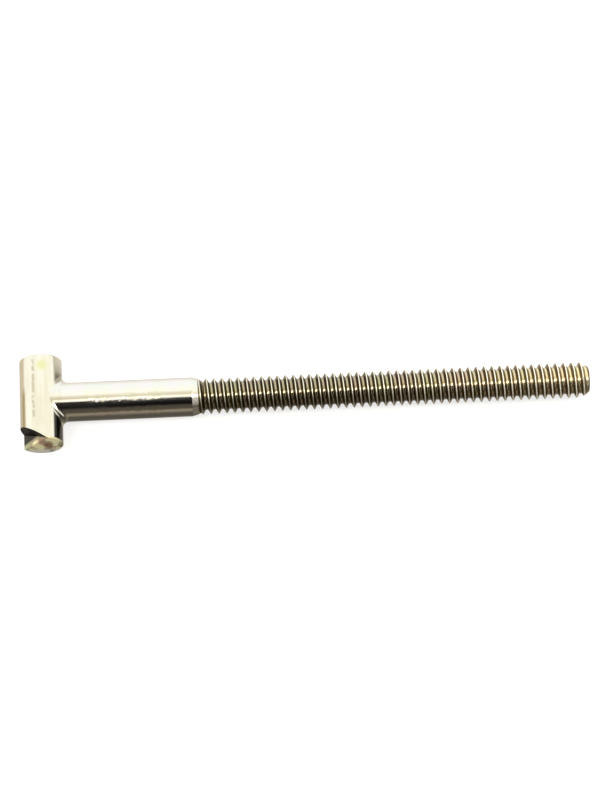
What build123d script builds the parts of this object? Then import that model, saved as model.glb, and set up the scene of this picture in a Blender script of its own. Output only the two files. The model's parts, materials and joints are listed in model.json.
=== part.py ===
"""T-bolt: a round cross-bar head with a long shank standing out of its middle.

The bolt lies on its side. The bolt axis is +X, from the head towards the threaded point,
and the cross-bar lies along Y. The origin is where the two axes cross, in the middle of the head.
All lengths are in millimetres.
"""

from build123d import *
import math
import os

# Cross-bar head: a short round bar, cropped from rod
bar_diameter = 5.65
bar_length = 12.0
bar_edge_break = 0.15

# Neck: the weld-like fillet where the shank grows out of the bar
neck_fillet = 1.0

# Shank: smooth from the head to the shoulder, threaded from there to the point
shank_diameter = 5.2
thread_major_diameter = 4.75
length_under_head = 70.0
thread_length = 52.0
shoulder_length = 0.8
point_length = 1.0
point_diameter = 3.3

# Thread, number 10 with 24 turns to the inch. Closed V-grooves stand in for the helix here:
# they are as deep as the real thread, and one stands for two turns of it.
inch = 25.4
turns_per_inch = 24
turns_per_groove = 2
thread_depth_share = 0.6134  # thread depth over pitch, the standard figure for an outside thread
crest_share = 1 / 5  # flat crest over the spacing

# Sheared corner: a torn notch takes the upper back of the -Y bar end off. Its upright wall starts
# on the end face at shear_x and runs back along the bar at shear_angle from the face.
shear_x = 0.8
shear_angle = 33.0

# Under the wall the notch has a sloping ledge, which leaves the bar's side at ledge_x, ledge_z.
ledge_x = -2.45
ledge_z = -1.4
ledge_angle = 51.7

bar_radius = bar_diameter / 2
shank_radius = shank_diameter / 2
thread_radius = thread_major_diameter / 2
point_radius = point_diameter / 2

# Stations along the bolt axis
tip_x = bar_radius + length_under_head
thread_x = tip_x - thread_length
shoulder_x = thread_x - shoulder_length
point_x = tip_x - point_length
near_end_y = -bar_length / 2

# Thread form
thread_pitch = inch / turns_per_inch
groove_spacing = turns_per_groove * thread_pitch
groove_half_width = groove_spacing * (1 - crest_share) / 2
root_radius = thread_radius - thread_depth_share * thread_pitch


def cross_bar():
    """Round bar along Y with its sharp edges broken."""
    with BuildPart() as bar:
        with BuildSketch(Plane.XZ):
            Circle(bar_radius)
        extrude(amount=bar_length / 2, both=True)
        chamfer(bar.edges().filter_by(GeomType.CIRCLE), length=bar_edge_break)
    return bar.part


def grooves():
    """Outline points of the thread's grooves, from the shoulder to the point."""
    outline = []
    for number in range(int((point_x - thread_x) / groove_spacing)):
        centre_x = thread_x + (number + 0.5) * groove_spacing
        outline.append((centre_x - groove_half_width, thread_radius))
        outline.append((centre_x, root_radius))
        outline.append((centre_x + groove_half_width, thread_radius))
    return outline


def shank():
    """Turned profile: smooth shank, conical shoulder, grooved thread and conical point."""
    before = [(0, 0), (0, shank_radius), (shoulder_x, shank_radius), (thread_x, thread_radius)]
    after = [(point_x, thread_radius), (tip_x, point_radius), (tip_x, 0)]
    with BuildPart() as turned:
        with BuildSketch(Plane.XY):
            with BuildLine():
                Polyline(before + grooves() + after, close=True)
            make_face()
        revolve(axis=Axis.X)
    return turned.part


def sheared_corner():
    """Metal that was torn away: all beyond the notch's wall and above its ledge."""
    wall_turn = math.radians(shear_angle)
    ledge_turn = math.radians(ledge_angle)
    wall = Plane(
        origin=(shear_x, near_end_y, 0),
        z_dir=(-math.sin(wall_turn), -math.cos(wall_turn), 0),
    )
    ledge = Plane(
        origin=(ledge_x, near_end_y, ledge_z),
        z_dir=(-math.sin(ledge_turn), 0, math.cos(ledge_turn)),
    )
    with BuildPart() as corner:
        with Locations((0, near_end_y, 0)):
            Box(2 * bar_diameter, 2 * bar_diameter, 2 * bar_diameter)
        split(bisect_by=wall, keep=Keep.TOP)
        split(bisect_by=ledge, keep=Keep.TOP)
    return corner.part


with BuildPart() as t_bolt:
    add(cross_bar())
    add(shank())
    neck = t_bolt.edges().filter_by(lambda e: e.geom_type not in (GeomType.CIRCLE, GeomType.LINE))
    fillet(neck, radius=neck_fillet)
    add(sheared_corner(), mode=Mode.SUBTRACT)

t_bolt.part.label = "t_bolt"

os.makedirs("parts", exist_ok=True)
export_step(t_bolt.part, "parts/t_bolt.step")
print("t_bolt", round(t_bolt.part.volume, 2), "mm3, valid:", t_bolt.part.is_valid)
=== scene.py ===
import json
import math

import bmesh
import bpy
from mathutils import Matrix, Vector, noise


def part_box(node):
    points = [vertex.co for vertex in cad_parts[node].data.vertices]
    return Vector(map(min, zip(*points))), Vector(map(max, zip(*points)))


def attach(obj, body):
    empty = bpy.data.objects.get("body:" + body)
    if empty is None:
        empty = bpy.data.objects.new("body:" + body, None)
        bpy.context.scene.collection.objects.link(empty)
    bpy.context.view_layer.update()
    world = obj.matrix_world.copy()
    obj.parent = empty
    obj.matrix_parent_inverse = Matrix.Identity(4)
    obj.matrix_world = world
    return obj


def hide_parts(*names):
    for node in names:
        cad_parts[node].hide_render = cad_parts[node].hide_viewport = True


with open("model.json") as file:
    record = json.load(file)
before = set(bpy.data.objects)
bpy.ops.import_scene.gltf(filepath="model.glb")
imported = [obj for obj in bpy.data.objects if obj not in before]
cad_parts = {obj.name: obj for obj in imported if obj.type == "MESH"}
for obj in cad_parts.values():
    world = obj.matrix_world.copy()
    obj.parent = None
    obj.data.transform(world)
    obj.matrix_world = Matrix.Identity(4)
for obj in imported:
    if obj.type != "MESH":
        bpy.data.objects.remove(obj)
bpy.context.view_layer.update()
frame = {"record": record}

# ------------------------------------------------------------------------------------------------
# T-bolt
# A hardware bolt in one piece of bright nickel-plated steel: a short round bar, cropped to length,
# is the cross-bar head, and a drawn round shank is joined to its middle. The end of the shank is
# cut with a number 10 thread, 24 turns to the inch. One lower corner of the head is sheared off.
# ------------------------------------------------------------------------------------------------
MM = 0.001  # the mesh is worked out in millimetres and scaled to metres once, at the end

mounts = {mount["name"]: mount for mount in frame["record"]["mounts"]}
bolt_low, bolt_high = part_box("t_bolt")
head_r = mounts["head"]["dims"]["r_mm"]
head_half = mounts["head"]["dims"]["length_mm"] / 2
shank_r = mounts["shank"]["dims"]["r_mm"]
crest_r = mounts["thread"]["dims"]["r_mm"]
thread_mid = mounts["thread"]["pos_m"][0] / MM
thread_half = mounts["thread"]["dims"]["length_mm"] / 2
thread_x = thread_mid - thread_half
point_x = thread_mid + thread_half
tip_x = bolt_high.x / MM

shoulder_length = 0.8  # cone from the shank down to the thread
point_r = 1.65  # flat end of the conical point
neck_r = 1.0  # fillet between the shank and the cross-bar, as if a ball had rolled round it
reach = shank_r + neck_r  # from the bolt axis to the middle of that ball
head_reach = head_r + neck_r  # and to it from the axis of the cross-bar
edge_r = 0.15  # broken edge round the ends of the cross-bar

pitch = 25.4 / 24
sharp_height = pitch * math.sqrt(3) / 2
crest_round = sharp_height / 10  # radius of the crest
root_round = 0.35  # radius of the root, a shallow arc as wide as the crest and its flank
root_turn = 29  # degrees of arc on each side of the root's middle
root_half = root_round * math.sin(math.radians(root_turn))
flank_run = pitch / 2 - crest_round * math.sin(math.radians(60)) - root_half
flank_fall = flank_run * math.sqrt(3)
root_fall = root_round * (1 - math.cos(math.radians(root_turn)))
thread_depth = crest_round / 2 + flank_fall + root_fall

# Sheared corner: the wall and the ledge of the notch, each facing the metal that was torn away
wall_turn = math.radians(33)
wall_at = Vector((0.8, -head_half, 0))
wall_out = Vector((-math.sin(wall_turn), -math.cos(wall_turn), 0))
ledge_turn = math.radians(51.7)
ledge_at = Vector((-2.45, -head_half, -1.4))
ledge_out = Vector((-math.sin(ledge_turn), 0, math.cos(ledge_turn)))

columns = 96  # round the bolt axis, a multiple of 8

points = []
faces = []
# Kinds of face, in the order of the bolt's materials
DRAWN, CREST, SHEARED_END, POINT_FLANK, HEAD_FLANK, NOTCH_WALL, NOTCH_LEDGE, ROOT = range(8)
face_kind = []


def add_row(row):
    """Adds a row of points and returns their indices."""
    points.extend(row)
    return list(range(len(points) - len(row), len(points)))


def skin(row_a, row_b, kind=DRAWN, closed=True):
    """Quads between two rows of the same length."""
    for i in range(len(row_a) - (not closed)):
        j = (i + 1) % len(row_a)
        faces.append((row_a[i], row_a[j], row_b[j], row_b[i]))
        face_kind.append(kind)


def turn(j):
    """Unit vector of column j round the bolt axis: (along +Y, along +Z)."""
    angle = 2 * math.pi * j / columns
    return math.cos(angle), math.sin(angle)


def ring(x, radius):
    return [(x, radius * turn(j)[0], radius * turn(j)[1]) for j in range(columns)]


# Thread: one helical row for each point of the form, closed on itself one pitch further on.
def thread_form():
    """One pitch of the thread as (distance along the axis, depth under the crest)."""
    form = []
    for degrees in (0, 30, 60):
        a = math.radians(degrees)
        form.append((crest_round * math.sin(a), crest_round * (1 - math.cos(a))))
    root = []
    for degrees in (root_turn, root_turn / 2):
        a = math.radians(degrees)
        away = root_round * math.sin(a)
        root.append((pitch / 2 - away, thread_depth - root_round * (1 - math.cos(a))))
    for share in (0.1, 0.9):
        form.append(
            (
                form[2][0] + share * (root[0][0] - form[2][0]),
                form[2][1] + share * (root[0][1] - form[2][1]),
            )
        )
    form += root
    mirrored = [(pitch - along, depth) for along, depth in form[:0:-1]]
    return form + [(pitch / 2, thread_depth)] + mirrored


def thread_point(along, depth, angle):
    """Point of the thread, kept under the blank's outline and above the run-out at the shoulder."""
    x = min(max(along, thread_x), tip_x)
    run_out = crest_r - (x - thread_x) * thread_depth / (0.9 * pitch)
    cone = crest_r - (x - point_x) * (crest_r - point_r) / (tip_x - point_x)
    radius = min(crest_r, cone, max(crest_r - depth, run_out))
    return x, radius * math.cos(angle), radius * math.sin(angle)


form = thread_form()
strip_kind = [CREST] * 2 + [POINT_FLANK] * 3 + [ROOT] * 4 + [HEAD_FLANK] * 3 + [CREST] * 2
turns = int((tip_x - thread_x) / pitch) + 2
helix_rows = []
for number in range(-1, turns):
    for along, depth in form:
        start = thread_x + number * pitch + along
        row = []
        for j in range(columns + 1):
            share = j / columns
            row.append(thread_point(start + pitch * share, depth, 2 * math.pi * share))
        helix_rows.append(add_row(row))
for number, (lower, upper) in enumerate(zip(helix_rows, helix_rows[1:])):
    skin(lower, upper, kind=strip_kind[number % len(form)], closed=False)

# Flat end of the point
tip_rows = [add_row(ring(tip_x, radius)) for radius in (point_r, point_r - 0.05, 0.8)]
tip_centre = add_row([(tip_x, 0, 0)] * columns)
for outer, inner in zip(tip_rows, tip_rows[1:] + [tip_centre]):
    skin(outer, inner, kind=CREST)

# Shoulder cone, with its two edges kept crisp by close rows
shoulder_rows = []
for share in (0, 0.06, 0.5, 0.94, 1):
    radius = crest_r + share * (shank_r - crest_r)
    shoulder_rows.append(add_row(ring(thread_x - share * shoulder_length, radius)))


# Shank, from the shoulder to where the neck fillet meets it
def neck_x(j):
    """Where the fillet's ball sits along the bolt axis at column j."""
    return math.sqrt(head_reach**2 - (reach * turn(j)[1]) ** 2)


shank_rows = []
for share in (0.004, 0.05, 0.15, 0.3, 0.45, 0.6, 0.75, 0.88, 0.96, 0.99, 1):
    row = []
    for j in range(columns):
        far = thread_x - shoulder_length
        y, z = turn(j)
        row.append((far + share * (neck_x(j) - far), shank_r * y, shank_r * z))
    shank_rows.append(add_row(row))

# Neck: a ball rolled round the joint, in contact with the shank and the cross-bar
neck_steps = 8
neck_rows = []
for step in range(1, neck_steps + 1):
    row = []
    for j in range(columns):
        y, z = turn(j)
        centre = Vector((neck_x(j), reach * y, reach * z))
        to_shank = Vector((0, -y, -z))
        to_bar = -Vector((centre.x, 0, centre.z)).normalized()
        row.append(tuple(centre + neck_r * to_shank.slerp(to_bar, step / neck_steps)))
    neck_rows.append(add_row(row))

# Cross-bar: its side runs from the neck out to a rectangle of the bar's length and half its girth,
# and on round the back.
front_angle = math.radians(80)
flat_half = head_half - edge_r


def bar_side(angle, y):
    """Point on the round side of the cross-bar."""
    return head_r * math.cos(angle), y, head_r * math.sin(angle)


def bar_front(j, share):
    """Angle round the cross-bar and place along it, a share of the way from neck to rectangle."""
    y, z = turn(j)
    near = (math.asin(reach * z / head_reach), reach * y)
    widest = max(abs(y), abs(z))
    far = (front_angle * z / widest, flat_half * y / widest)
    return near[0] + share * (far[0] - near[0]), near[1] + share * (far[1] - near[1])


front_rows = []
for share in (0.02, 0.1, 0.25, 0.4, 0.55, 0.7, 0.85, 0.97, 1):
    row = [bar_side(*bar_front(j, share)) for j in range(columns)]
    front_rows.append(add_row(row))

side_rows = shoulder_rows + shank_rows + neck_rows + front_rows
for row_a, row_b in zip(side_rows, side_rows[1:]):
    skin(row_a, row_b)

eighth = columns // 8
back_steps = 40
upper_edge = front_rows[-1][eighth : 3 * eighth + 1]
lower_edge = [front_rows[-1][-j] for j in range(eighth, 3 * eighth + 1)]
back_rows = [upper_edge]
for step in range(1, back_steps):
    angle = front_angle + (2 * math.pi - 2 * front_angle) * step / back_steps
    row = []
    for j in range(eighth, 3 * eighth + 1):
        row.append(bar_side(angle, bar_front(j, 1)[1]))
    back_rows.append(add_row(row))
back_rows.append(lower_edge)
for row_a, row_b in zip(back_rows, back_rows[1:]):
    skin(row_a, row_b, closed=False)


# Ends of the cross-bar: the broken edge, then rings in to the centre
end_rings = 6


def close_end(loop, sign, kind):
    """Closes the end of the bar on the +Y or -Y side, from the loop of its side inwards."""
    previous = loop
    directions = []
    for index in loop:
        x, _, z = points[index]
        directions.append((x / head_r, z / head_r))
    stations = []
    for degrees in (25, 50, 75, 90):
        a = math.radians(degrees)
        stations.append((head_r - edge_r * (1 - math.cos(a)), edge_r * (1 - math.sin(a))))
    inner = head_r - edge_r
    for step in range(1, end_rings + 1):
        stations.append((inner * (1 - step / end_rings), 0.0))
    for radius, under in stations:
        row = []
        for across, up in directions:
            row.append((radius * across, sign * (head_half - under), radius * up))
        ring_inside = add_row(row)
        skin(previous, ring_inside, kind=kind)
        previous = ring_inside


far_loop = [front_rows[-1][j] for j in range(-eighth, eighth)]
far_loop += [row[0] for row in back_rows[:-1]]
near_loop = [front_rows[-1][j] for j in range(5 * eighth, 3 * eighth, -1)]
near_loop += [row[-1] for row in back_rows[:-1]]
close_end(far_loop, 1, DRAWN)
close_end(near_loop, -1, SHEARED_END)

mesh = bpy.data.meshes.new("t_bolt_bright_steel")
mesh.from_pydata(points, [], faces)
mesh.polygons.foreach_set("material_index", face_kind)
sculpt = bmesh.new()
sculpt.from_mesh(mesh)
bmesh.ops.remove_doubles(sculpt, verts=sculpt.verts, dist=0.0005)


# Sheared corner: the bar is scored along both planes, the metal between them comes out, and the
# wall and the ledge that it leaves are filled in and roughened.
def score(some_faces, at, out):
    """New edges where the plane crosses the faces."""
    edges = {edge for face in some_faces for edge in face.edges}
    corners = {corner for face in some_faces for corner in face.verts}
    bmesh.ops.bisect_plane(
        sculpt,
        geom=list(corners) + list(edges) + some_faces,
        dist=0.0001,
        plane_co=at,
        plane_no=out,
    )


notch_end_y = -3  # the notch stops short of this on its way in from the end of the bar


def near_end_faces():
    return [face for face in sculpt.faces if face.calc_center_median().y < notch_end_y]


def lies_on(place, at, out):
    """Whether the place is on the plane, to a micrometre."""
    return abs((place - at).dot(out)) < 0.001


score(near_end_faces(), wall_at, wall_out)
score(near_end_faces(), ledge_at, ledge_out)
torn_away = []
for face in near_end_faces():
    middle = face.calc_center_median()
    if (middle - wall_at).dot(wall_out) > 0 and (middle - ledge_at).dot(ledge_out) > 0:
        torn_away.append(face)
bmesh.ops.delete(sculpt, geom=torn_away, context="FACES")

rim = [edge for edge in sculpt.edges if edge.is_boundary]
ledge_rim = [
    edge
    for edge in rim
    if all(lies_on(corner.co, ledge_at, ledge_out) for corner in edge.verts)
]
wall_rim = [edge for edge in rim if edge not in ledge_rim]


def ends_of(edges):
    """The two corners where a chain of edges starts and stops."""
    count = {}
    for edge in edges:
        for corner in edge.verts:
            count[corner] = count.get(corner, 0) + 1
    return [corner for corner, times in count.items() if times == 1]


base = sculpt.edges.new(ends_of(wall_rim))  # the line where the wall stands on the ledge
notch = []
for edges in (wall_rim, ledge_rim):
    made = bmesh.ops.contextual_create(sculpt, geom=edges + [base])
    notch.append(made["faces"])
for sides, kind in zip(notch, (NOTCH_WALL, NOTCH_LEDGE)):
    for face in sides:
        face.material_index = kind
for edge in rim + [base]:
    edge.smooth = False

# Both are cut into a fine grid, so that they can be roughened
grid_step = 0.22
grid_middle = Vector((-1, -5, 0))
for kind, out in ((NOTCH_WALL, wall_out), (NOTCH_LEDGE, ledge_out)):
    across = out.cross(Vector((0, 0, 1))) if kind == NOTCH_WALL else Vector((0, 1, 0))
    for direction in (across, out.cross(across)):
        for step in range(-30, 31):
            pieces = [face for face in sculpt.faces if face.material_index == kind]
            score(pieces, grid_middle + direction * grid_step * step, direction)
bmesh.ops.recalc_face_normals(sculpt, faces=sculpt.faces)
for face in sculpt.faces:
    face.smooth = True
tear_depth = 0.12
for corner in sculpt.verts:
    kinds = {face.material_index for face in corner.link_faces}
    if kinds == {NOTCH_WALL} or kinds == {NOTCH_LEDGE}:
        lump = noise.noise(corner.co * 1.6) + 0.5 * noise.noise(corner.co * 4)
        corner.co -= corner.normal * tear_depth * abs(lump)
bmesh.ops.scale(sculpt, vec=(MM, MM, MM), verts=sculpt.verts)
sculpt.to_mesh(mesh)
sculpt.free()
t_bolt = bpy.data.objects.new("t_bolt_bright_steel", mesh)
bpy.context.scene.collection.objects.link(t_bolt)


# Materials
def linear(hex_colour):
    """sRGB hex to linear RGBA."""
    channels = [int(hex_colour[i : i + 2], 16) / 255 for i in (1, 3, 5)]
    return [c / 12.92 if c <= 0.04045 else ((c + 0.055) / 1.055) ** 2.4 for c in channels] + [1]


def node(tree, kind, settings=None, inputs=None):
    """Adds a node. settings are its properties; inputs are values, or sockets linked to them."""
    made = tree.nodes.new(kind)
    for name, value in (settings or {}).items():
        setattr(made, name, value)
    for name, value in (inputs or {}).items():
        if isinstance(value, bpy.types.NodeSocket):
            tree.links.new(value, made.inputs[name])
        else:
            made.inputs[name].default_value = value
    return made


def new_material(name):
    material = bpy.data.materials.new(name)
    material.use_nodes = True
    material.node_tree.nodes.clear()
    return material, material.node_tree


def share_within(tree, strength, *limits):
    """How far all the limits hold, from 0 to the strength. A limit is a value, where it starts to
    hold and where it holds in full, with an eased change between."""
    share = strength
    for value, start, full in limits:
        eased = node(
            tree,
            "ShaderNodeMapRange",
            {"interpolation_type": "SMOOTHSTEP"},
            {"Value": value, "From Min": start, "From Max": full},
        ).outputs["Result"]
        share = node(
            tree, "ShaderNodeMath", {"operation": "MULTIPLY"}, {0: eased, 1: share}
        ).outputs[0]
    return share


def laid_over(tree, under, over, strength, *limits):
    """The colour under, with the colour over laid on it at this strength within the limits."""
    share = share_within(tree, strength, *limits)
    mixed = node(tree, "ShaderNodeMix", {"data_type": "RGBA"}, {0: share, 6: under, 7: over})
    return mixed.outputs[2]


def millimetres(tree):
    """Place on the bolt in millimetres, and its X, Y and Z."""
    place = node(tree, "ShaderNodeTexCoord").outputs["Object"]
    place = node(
        tree, "ShaderNodeVectorMath", {"operation": "SCALE"}, {0: place, "Scale": 1 / MM}
    ).outputs[0]
    return place, node(tree, "ShaderNodeSeparateXYZ", inputs={"Vector": place}).outputs


# Nickel-plated steel, polished: a bright mirror with a faint warm cast. It is yellower in places,
# with a pale green stain near the head's far end, a thin score along the head and rubbed patches.
polished, tree = new_material("nickel_plated_steel_polished")
place, (x, y, z) = millimetres(tree)


def grain(scale, stretch, detail=3.0):
    """Noise with about this many lumps to the millimetre, stretched along X, Y and Z."""
    stretched = node(tree, "ShaderNodeMapping", inputs={"Vector": place, "Scale": stretch})
    lumps = node(
        tree,
        "ShaderNodeTexNoise",
        inputs={"Vector": stretched.outputs["Vector"], "Scale": scale, "Detail": detail},
    )
    return lumps.outputs["Fac"]


streaks = grain(0.8, (1, 0.12, 1))
on_head = laid_over(tree, linear("#d4cfc8"), linear("#cbc5b8"), 1.0, (streaks, 0.38, 0.62))
clouds = grain(0.55, (1, 0.4, 1))
on_shank = laid_over(tree, linear("#d6cfcc"), linear("#d3d0c6"), 1.0, (clouds, 0.40, 0.62))
colour = laid_over(tree, on_head, on_shank, 1.0, (x, 2.4, 3.2))

# Distance from the bolt axis on the side of the head, 1 where the neck's fillet meets it
from_neck = node(
    tree,
    "ShaderNodeVectorMath",
    {"operation": "MULTIPLY"},
    {0: place, 1: (0, 1 / reach, head_reach / head_r / reach)},
)
from_neck = node(
    tree, "ShaderNodeVectorMath", {"operation": "LENGTH"}, {0: from_neck.outputs[0]}
).outputs["Value"]
clear_of_neck = (from_neck, 0.985, 1.03)

# Painted dark reflection down the near half of the side of the head that faces the shank: a
# near black tint stands in for the dark room mirrored there. On the far half a painted shade runs
# from grey by the neck to pale at the end. An olive line runs down the back of the near half.
painted_shades_and_olive_line = [
    ("#4a4843", 1.0, (x, 1.62, 1.84), clear_of_neck, (y, -0.1, -0.5)),
    ("#f8f3e8", 1.0, (x, 1.85, 2.15), (y, 3.4, 5.6)),
    ("#8f8b7c", 1.0, (x, 1.85, 2.15), (y, 4.0, 3.0), (y, 0.0, 0.5), clear_of_neck),
    ("#96895f", 0.75, (x, -2.50, -2.32), (x, -1.90, -2.08), (y, 2.0, 0.2)),
]
for tint, strength, *limits in painted_shades_and_olive_line:
    colour = laid_over(tree, colour, linear(tint), strength, *limits)

# A pale green stain near the far end of the head, and a pink blush at the end of the shank
spots = [
    ("#c8c8a0", (0.3, 4.4, 2.8), 1.1, 0.2),
    ("#c6a294", (20.45, -0.75, 2.3), 0.45, 0.15),
]
for tint, middle, start, full in spots:
    away = node(
        tree, "ShaderNodeVectorMath", {"operation": "DISTANCE"}, {0: place, 1: middle}
    ).outputs["Value"]
    colour = laid_over(tree, colour, linear(tint), 1.0, (away, start, full))

# A thin score along the top of the head, which wanders a little and comes and goes
wandering = node(
    tree,
    "ShaderNodeMath",
    {"operation": "MULTIPLY_ADD"},
    {0: grain(0.9, (0, 1, 0)), 1: 0.5, 2: x},
).outputs[0]
colour = laid_over(
    tree,
    colour,
    linear("#aca292"),
    0.8,
    (wandering, -0.89, -0.71),
    (wandering, -0.37, -0.55),
    (y, -3.4, -2.8),
    (y, 5.6, 5.0),
    (z, 0.5, 1.5),
    (grain(1.6, (0.3, 1, 0.3)), 0.34, 0.50),
)

# Rubbed patch on the shank, where fine dents ruffle the edge of what the metal mirrors
rubbed = node(
    tree,
    "ShaderNodeMapRange",
    {"interpolation_type": "SMOOTHSTEP"},
    {"Value": share_within(tree, 1.0, (x, 5.5, 7.5), (x, 17.5, 15.5)), "To Min": 0.15},
).outputs["Result"]
dents = node(
    tree,
    "ShaderNodeMath",
    {"operation": "MULTIPLY"},
    {0: grain(2.0, (1, 0.6, 0.6), 4.0), 1: rubbed},
).outputs[0]
ruffled = node(
    tree,
    "ShaderNodeBump",
    inputs={"Height": dents, "Strength": 1.0, "Distance": 0.058 * MM},
).outputs["Normal"]
satin = node(
    tree,
    "ShaderNodeMapRange",
    {"interpolation_type": "SMOOTHSTEP"},
    {
        "Value": grain(0.9, (0.06, 1, 1), 4.0),
        "From Min": 0.35,
        "From Max": 0.7,
        "To Min": 0.08,
        "To Max": 0.18,
    },
).outputs["Result"]
shader = node(
    tree,
    "ShaderNodeBsdfPrincipled",
    inputs={"Base Color": colour, "Metallic": 1.0, "Roughness": satin, "Normal": ruffled},
)
node(tree, "ShaderNodeOutputMaterial", inputs={"Surface": shader.outputs["BSDF"]})

# The cut thread: two dark olive-brown flanks to each turn, between the pale plated crest and a
# tan root. The flanks' dark tints are painted shade in the grooves, a lit and a shaded copy of
# one steel. All of it is greyer up to the middle and painted lighter towards the point, as painted
# light, and its hue wanders a little from turn to turn, as the colour of a thin film does.
bright_from = thread_x + 0.6 * thread_half


def thread_steel(name, at_shank, at_point, smooth, rough, late, worn=None):
    """Steel of one tint and polish up to the thread's middle, and of another at its point. A high
    value of late keeps the change near the point. A worn crest is less of a mirror there."""
    material, tree = new_material(name)
    place = node(tree, "ShaderNodeTexCoord").outputs["Object"]
    along = node(tree, "ShaderNodeSeparateXYZ", inputs={"Vector": place}).outputs["X"]
    to_point = node(
        tree,
        "ShaderNodeMapRange",
        inputs={"Value": along, "From Min": bright_from * MM, "From Max": tip_x * MM},
    ).outputs["Result"]
    to_point = node(
        tree, "ShaderNodeMath", {"operation": "POWER"}, {0: to_point, 1: late}
    ).outputs[0]
    tint = node(
        tree,
        "ShaderNodeMix",
        {"data_type": "RGBA"},
        {0: to_point, 6: linear(at_shank), 7: linear(at_point)},
    )
    turn_by_turn = node(
        tree,
        "ShaderNodeTexNoise",
        {"noise_dimensions": "1D"},
        {"W": along, "Scale": 0.3 / MM, "Detail": 2.0},
    )
    hue = node(
        tree,
        "ShaderNodeMapRange",
        inputs={
            "Value": turn_by_turn.outputs["Fac"],
            "From Min": 0.3,
            "From Max": 0.7,
            "To Min": 0.475,
            "To Max": 0.52,
        },
    )
    tint = node(
        tree,
        "ShaderNodeHueSaturation",
        inputs={"Hue": hue.outputs["Result"], "Color": tint.outputs[2]},
    )
    satin = node(
        tree,
        "ShaderNodeMapRange",
        inputs={"Value": to_point, "To Min": smooth, "To Max": rough},
    )
    mirror = 1.0
    if worn is not None:
        mirror = node(
            tree,
            "ShaderNodeMapRange",
            inputs={"Value": to_point, "To Min": 1.0, "To Max": worn},
        ).outputs["Result"]
    shader = node(
        tree,
        "ShaderNodeBsdfPrincipled",
        inputs={
            "Base Color": tint.outputs[0],
            "Metallic": mirror,
            "Roughness": satin.outputs["Result"],
        },
    )
    node(tree, "ShaderNodeOutputMaterial", inputs={"Surface": shader.outputs["BSDF"]})
    return material


# Painted light: each tint is paler at the point. Painted shade: the two dark flank tints, a lit and
# a shaded copy.
crest_steel = thread_steel(
    "nickel_plated_steel_crest", "#dad3c0", "#f8f0e2", 0.30, 0.34, late=0.8, worn=0.45
)
point_flank_steel = thread_steel(
    "steel_flank_facing_point_painted_shade", "#524a36", "#a29074", 0.28, 0.32, late=1.6
)
head_flank_steel = thread_steel(
    "steel_flank_facing_head_painted_shade", "#5c523c", "#867353", 0.28, 0.32, late=1.6
)
root_steel = thread_steel(
    "tan_steel_root", "#a3977c", "#dccba4", 0.12, 0.24, late=1.6
)

# Cropped steel: the flat of the sheared end, satin and tan, with a pale lower lip. It is blotched
# bright cream in places, and brown and grey-green in others.
smear = 0.45  # the blotches are stretched up and down
blotches = [
    ("#fff0c4", 0.90, (-0.75, -6, 0.1), 0.75),
    ("#86604a", 0.85, (0.85, -6, 0.0), 0.85),
    ("#a3a888", 0.75, (-2.3, -6, -0.5), 0.9),
    ("#fff0c0", 0.80, (1.4, -6, 2.6), 0.8),
    ("#6c6454", 0.70, (2.6, -6, 0.0), 0.7),
    ("#7d8a5c", 0.75, (1.2, -6, -2.4), 0.5),
]
# Painted shade: the near black of the shade in the notch's hollow
painted_shade_black = "#2a2622"


def bare_steel(name, browner, greener, painted_shade_under_wall):
    """Mottled bare steel. A painted shade can be laid on it, near black at the back under the
    notch's wall.
    """
    material, tree = new_material(name)
    place, (x, y, z) = millimetres(tree)
    patches = node(
        tree, "ShaderNodeTexNoise", inputs={"Vector": place, "Scale": 0.9, "Detail": 3.0}
    ).outputs["Fac"]
    colour = laid_over(tree, linear(browner), linear(greener), 1.0, (patches, 0.42, 0.58))
    colour = laid_over(tree, colour, linear("#e9e7e0"), 1.0, (z, -1.0, -2.1))
    smeared = node(
        tree, "ShaderNodeVectorMath", {"operation": "MULTIPLY"}, {0: place, 1: (1, 1, smear)}
    ).outputs[0]
    for tint, strength, middle, reach in blotches:
        middle = (middle[0], middle[1], middle[2] * smear)
        away = node(
            tree, "ShaderNodeVectorMath", {"operation": "DISTANCE"}, {0: smeared, 1: middle}
        ).outputs["Value"]
        colour = laid_over(tree, colour, linear(tint), strength, (away, reach, 0.35 * reach))
    if painted_shade_under_wall:
        # Painted shade under the notch's wall, darkest at the back
        from_wall = node(
            tree, "ShaderNodeVectorMath", {"operation": "SUBTRACT"}, {0: place, 1: wall_at}
        )
        from_wall = node(
            tree,
            "ShaderNodeVectorMath",
            {"operation": "DOT_PRODUCT"},
            {0: from_wall.outputs[0], 1: wall_out + Vector((0.7, 0, 0))},
        ).outputs["Value"]
        colour = laid_over(tree, colour, linear(painted_shade_black), 1.0, (from_wall, -0.85, -1.15))
    shader = node(
        tree,
        "ShaderNodeBsdfPrincipled",
        inputs={"Base Color": colour, "Metallic": 0.35, "Roughness": 0.5},
    )
    node(tree, "ShaderNodeOutputMaterial", inputs={"Surface": shader.outputs["BSDF"]})
    return material


sheared_steel = bare_steel("sheared_steel_end", "#bb9a84", "#f2ecc2", painted_shade_under_wall=False)

# The ledge of the torn notch: the same bare steel, darker and mottled green and brown, with a
# painted shade, near black, at the back under the wall
ledge_steel = bare_steel("sheared_steel_ledge", "#a58a76", "#9a9c7c", painted_shade_under_wall=True)

# The wall of the torn notch: painted shade, steel tinted nearly black with a dull gleam, for the
# shade in the notch's hollow
wall_steel, tree = new_material("sheared_steel_wall_painted_shade")
shader = node(
    tree,
    "ShaderNodeBsdfPrincipled",
    inputs={"Base Color": linear(painted_shade_black), "Metallic": 1.0, "Roughness": 0.4},
)
node(tree, "ShaderNodeOutputMaterial", inputs={"Surface": shader.outputs["BSDF"]})

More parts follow.
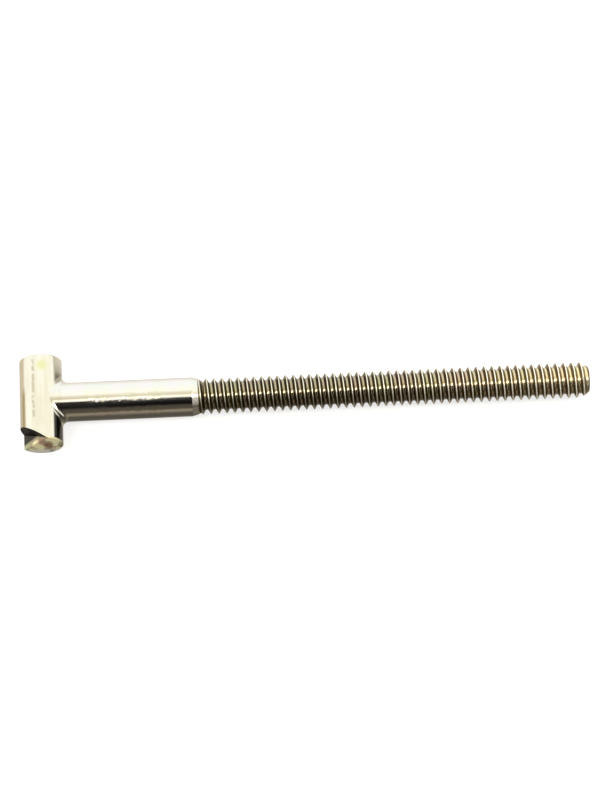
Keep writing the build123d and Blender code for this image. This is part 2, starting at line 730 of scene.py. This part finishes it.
# In the order of the kinds of face
for material in (
    polished,
    crest_steel,
    sheared_steel,
    point_flank_steel,
    head_flank_steel,
    wall_steel,
    ledge_steel,
    root_steel,
):
    mesh.materials.append(material)

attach(t_bolt, "root")
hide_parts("t_bolt")

# ------------------------------------------------------------------------------------------------
# Floor
# A white table top, matt, wide enough to fill every view. It takes the bolt's soft shadow.
# ------------------------------------------------------------------------------------------------
floor_half = 3.0  # metres from the middle to each side
floor_z = bolt_low.z
floor_mesh = bpy.data.meshes.new("floor")
corners = [(-1, -1), (1, -1), (1, 1), (-1, 1)]
floor_points = [(floor_half * x, floor_half * y, floor_z) for x, y in corners]
floor_mesh.from_pydata(floor_points, [], [(0, 1, 2, 3)])
floor = bpy.data.objects.new("floor", floor_mesh)
bpy.context.scene.collection.objects.link(floor)

# White laminate, matt. The camera sees it with a light of its own added, so that it is nearly pure
# white with a pale grey shadow, and the bolt is lit by it as by plain matt white.
table_top, tree = new_material("white_matt_table_top")
matt = node(tree, "ShaderNodeBsdfDiffuse", inputs={"Color": (0.5, 0.5, 0.5, 1)})
shaded = node(tree, "ShaderNodeBsdfDiffuse", inputs={"Color": (0.34, 0.34, 0.34, 1)})
white = node(tree, "ShaderNodeEmission", inputs={"Color": (1, 1, 1, 1), "Strength": 0.72})
shown = node(tree, "ShaderNodeAddShader", inputs={0: shaded.outputs[0], 1: white.outputs[0]})
path = node(tree, "ShaderNodeLightPath")
both = node(
    tree,
    "ShaderNodeMixShader",
    inputs={0: path.outputs["Is Camera Ray"], 1: matt.outputs[0], 2: shown.outputs[0]},
)
node(tree, "ShaderNodeOutputMaterial", inputs={"Surface": both.outputs[0]})
floor_mesh.materials.append(table_top)
floor.visible_glossy = False  # the room alone is mirrored in the bolt

# ------------------------------------------------------------------------------------------------
# Light
# A bright, even white room. The near side, where one stands, is dark from knee to shoulder height,
# which gives polished metal its one dark band. What the camera sees behind the floor is white.
# ------------------------------------------------------------------------------------------------
world = bpy.data.worlds.new("studio")
bpy.context.scene.world = world
world.use_nodes = True
tree = world.node_tree
tree.nodes.clear()
way = node(tree, "ShaderNodeTexCoord").outputs["Generated"]
way = node(tree, "ShaderNodeSeparateXYZ", inputs={"Vector": way})
near = node(tree, "ShaderNodeMath", {"operation": "MULTIPLY"}, {0: way.outputs["Y"], 1: -1.0})
height = node(
    tree, "ShaderNodeMath", {"operation": "ARCTAN2"}, {0: way.outputs["Z"], 1: near.outputs[0]}
)
height = node(
    tree,
    "ShaderNodeMapRange",
    inputs={"Value": height.outputs[0], "From Min": -math.pi, "From Max": math.pi},
)
room_strength = 14.0  # the brightest light in the room, which is white on a ramp


def room_ramp(stops):
    """Light by angle: 0 the near horizon, 90 overhead, 180 the far horizon, negative under them."""
    ramp = node(tree, "ShaderNodeValToRGB", inputs={"Fac": height.outputs["Result"]})
    elements = ramp.color_ramp.elements
    while len(elements) < len(stops):
        elements.new(0.5)
    for element, (degrees, colour) in zip(elements, stops):
        element.position = (degrees + 180) / 360
        element.color = [channel / room_strength for channel in colour] + [1]
    return ramp.outputs["Color"]


above = [
    (100, (1.22, 1.20, 0.98)),
    (110, (1.56, 1.58, 1.38)),
    (145, (1.46, 1.54, 1.54)),
    (180, (1.42, 1.50, 1.50)),
]
# What the shank and the top of the head mirror
middle = room_ramp(
    [
        (-180, (1.42, 1.50, 1.50)),
        (-150, (1.10, 1.06, 0.98)),
        (-112, (0.62, 0.58, 0.52)),
        (-95, (0.26, 0.24, 0.21)),
        (-60, (0.11, 0.10, 0.08)),
        (-30, (0.15, 0.14, 0.12)),
        (-22, (0.35, 0.30, 0.23)),
        (-8, (0.38, 0.33, 0.25)),
        (-2, (0.13, 0.115, 0.08)),
        (22, (0.09, 0.08, 0.065)),
        (30, (0.008, 0.008, 0.008)),
        (66, (0.012, 0.012, 0.012)),
        (73, (1.9, 1.85, 1.6)),
        (80, (1.75, 1.68, 1.42)),
        (85, (0.98, 0.93, 0.68)),
        (92, (0.98, 0.94, 0.68)),
    ]
    + above
)
# A little to each side of that: lamps nearly overhead, which the thread's roots mirror as dots
windows = room_ramp(
    [
        (-180, (1.42, 1.50, 1.50)),
        (-150, (1.10, 1.06, 0.98)),
        (-112, (0.75, 0.70, 0.62)),
        (-80, (0.34, 0.31, 0.26)),
        (-30, (0.20, 0.18, 0.15)),
        (-8, (0.26, 0.23, 0.18)),
        (-2, (0.15, 0.13, 0.10)),
        (30, (0.02, 0.02, 0.02)),
        (65, (0.02, 0.02, 0.02)),
        (69, (14.0, 13.8, 13.0)),
        (80, (14.0, 13.8, 13.0)),
        (84, (1.0, 0.95, 0.7)),
    ]
    + above
)
# Beyond the head, for its left side and the thread's flanks that face it
left = room_ramp(
    [
        (-180, (1.50, 1.55, 1.42)),
        (-160, (1.45, 1.42, 1.28)),
        (-151, (1.10, 1.00, 0.80)),
        (-112, (0.80, 0.71, 0.52)),
        (-98, (0.16, 0.14, 0.11)),
        (-60, (0.07, 0.06, 0.05)),
        (12, (0.06, 0.05, 0.045)),
        (27, (1.20, 1.18, 1.05)),
        (90, (1.60, 1.62, 1.45)),
        (180, (1.50, 1.55, 1.42)),
    ]
)
# Beyond the point, for the thread's other flanks and the neck
right = room_ramp(
    [
        (-180, (0.66, 0.65, 0.52)),
        (-150, (0.66, 0.64, 0.54)),
        (-125, (0.72, 0.69, 0.60)),
        (-105, (0.60, 0.54, 0.42)),
        (-70, (0.15, 0.14, 0.11)),
        (2, (0.10, 0.09, 0.08)),
        (15, (1.15, 1.13, 1.02)),
        (90, (1.60, 1.62, 1.42)),
        (150, (1.50, 1.52, 1.36)),
        (160, (0.72, 0.71, 0.57)),
        (180, (0.66, 0.65, 0.52)),
    ]
)
# Straight beyond the point, dark above the horizon, for the side of the head facing the shank
right_end = room_ramp(
    [
        (-180, (0.66, 0.65, 0.52)),
        (-150, (0.66, 0.64, 0.54)),
        (-125, (0.72, 0.69, 0.60)),
        (-105, (0.30, 0.27, 0.22)),
        (-60, (0.16, 0.15, 0.12)),
        (-5, (0.10, 0.09, 0.08)),
        (0, (0.05, 0.05, 0.045)),
        (108, (0.05, 0.05, 0.045)),
        (116, (1.54, 1.56, 1.38)),
        (150, (1.50, 1.52, 1.36)),
        (160, (0.72, 0.71, 0.57)),
        (180, (0.66, 0.65, 0.52)),
    ]
)
sideways = way.outputs["X"]
aside = node(tree, "ShaderNodeMath", {"operation": "ABSOLUTE"}, {0: sideways}).outputs[0]
to_point = node(tree, "ShaderNodeMath", {"operation": "GREATER_THAN"}, {0: sideways, 1: 0.0})
right = laid_over(tree, right, right_end, 1.0, (aside, 0.68, 0.80))
sides = node(
    tree, "ShaderNodeMix", {"data_type": "RGBA"}, {0: to_point.outputs[0], 6: left, 7: right}
).outputs[2]
around = laid_over(tree, middle, windows, 1.0, (aside, 0.19, 0.27))
around = laid_over(tree, around, sides, 1.0, (aside, 0.38, 0.62))
lit = node(tree, "ShaderNodeBackground", inputs={"Color": around, "Strength": room_strength})
seen = node(tree, "ShaderNodeBackground", inputs={"Color": (1, 1, 1, 1), "Strength": 1.0})
path = node(tree, "ShaderNodeLightPath")
both = node(
    tree,
    "ShaderNodeMixShader",
    inputs={0: path.outputs["Is Camera Ray"], 1: lit.outputs[0], 2: seen.outputs[0]},
)
node(tree, "ShaderNodeOutputWorld", inputs={"Surface": both.outputs[0]})

# ------------------------------------------------------------------------------------------------
# Camera
# Looks steeply down on the bolt from the near side, a little from the head's end, with a long lens.
# ------------------------------------------------------------------------------------------------
azimuth = math.radians(-2.74)
elevation = math.radians(67)
distance = 0.475
aim = Vector((0.03437, -0.00013, 0))
back = Vector(
    (
        math.sin(azimuth) * math.cos(elevation),
        -math.cos(azimuth) * math.cos(elevation),
        math.sin(elevation),
    )
)
camera_data = bpy.data.cameras.new("camera")
camera_data.sensor_width = 36
camera_data.lens = 163.7
camera = bpy.data.objects.new("camera", camera_data)
bpy.context.scene.collection.objects.link(camera)
camera.location = aim + distance * back
camera.rotation_mode = "QUATERNION"
camera.rotation_quaternion = (-back).to_track_quat("-Z", "Y")
bpy.context.scene.camera = camera
bpy.context.scene.view_settings.view_transform = "Standard"
